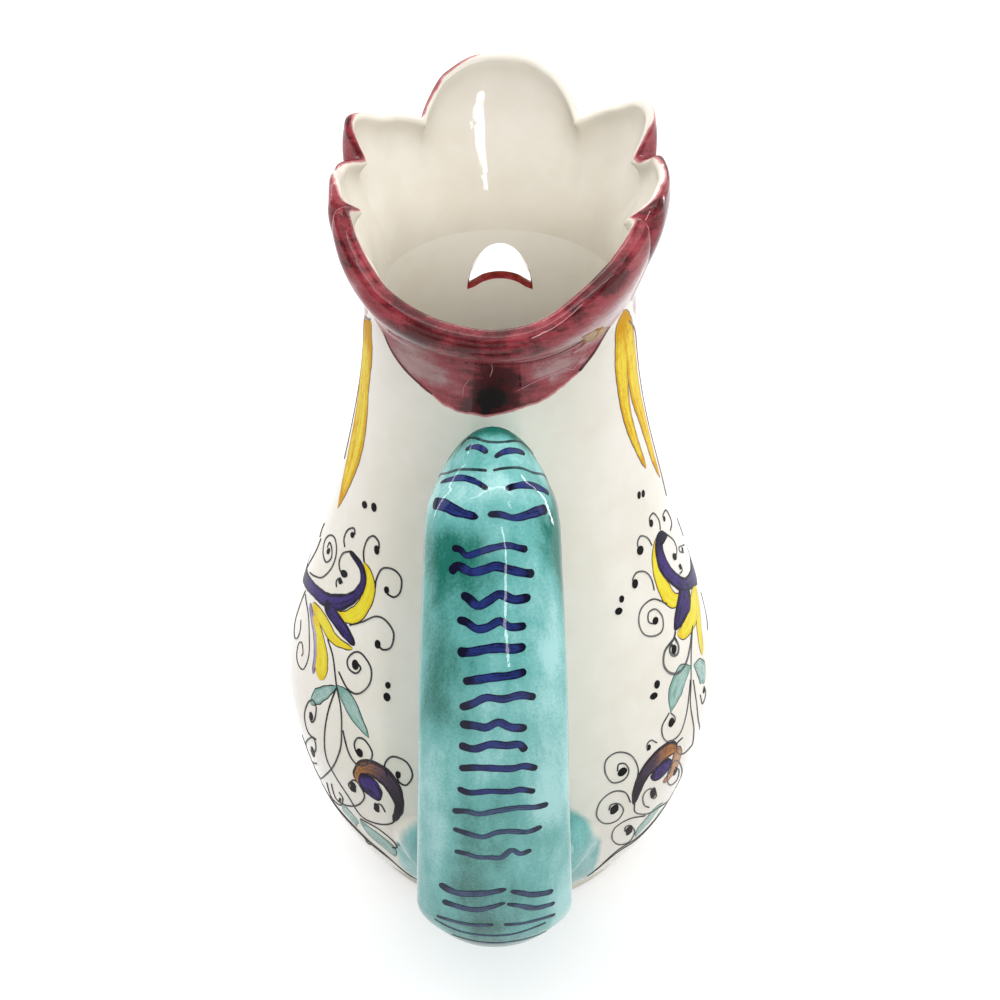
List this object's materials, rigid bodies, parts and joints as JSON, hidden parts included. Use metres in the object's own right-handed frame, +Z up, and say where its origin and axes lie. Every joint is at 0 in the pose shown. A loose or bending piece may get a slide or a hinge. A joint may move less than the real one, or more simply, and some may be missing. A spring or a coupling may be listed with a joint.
{
  "type": "pitcher",
  "caption": "Hen-shaped ceramic pitcher with a lobed comb round the mouth, an open beak over the pouring hole and a wide tail as its handle.",
  "frame": {"origin": "middle of the foot ring's standing face", "axes": "+Z up, the beak points along -Y, the tail handle is on +Y, +X is to the right of a person who looks at the beak"},
  "size_m": [0.14, 0.1902, 0.26],
  "materials": {
    "foot_glaze": "gloss white tin glaze, bare clay on the standing rim",
    "body_glaze": "gloss white tin glaze with brushed scrollwork in yellow, violet, teal and dark grey",
    "comb_glaze": "gloss crimson brushed over white outside, cream white inside",
    "beak_glaze": "gloss yellow with an orange wash",
    "wattle_glaze": "gloss crimson",
    "tail_glaze": "gloss teal wash with cobalt blue brush strokes"
  },
  "bodies": {
    "root": {"foot_ring": "foot_glaze", "body_shell": "body_glaze", "comb_crown": "comb_glaze", "upper_beak": "beak_glaze", "lower_beak": "beak_glaze", "wattle_left": "wattle_glaze", "wattle_right": "wattle_glaze", "handle_pad": "tail_glaze", "tail_handle": "tail_glaze"}
  },
  "joints": []
}
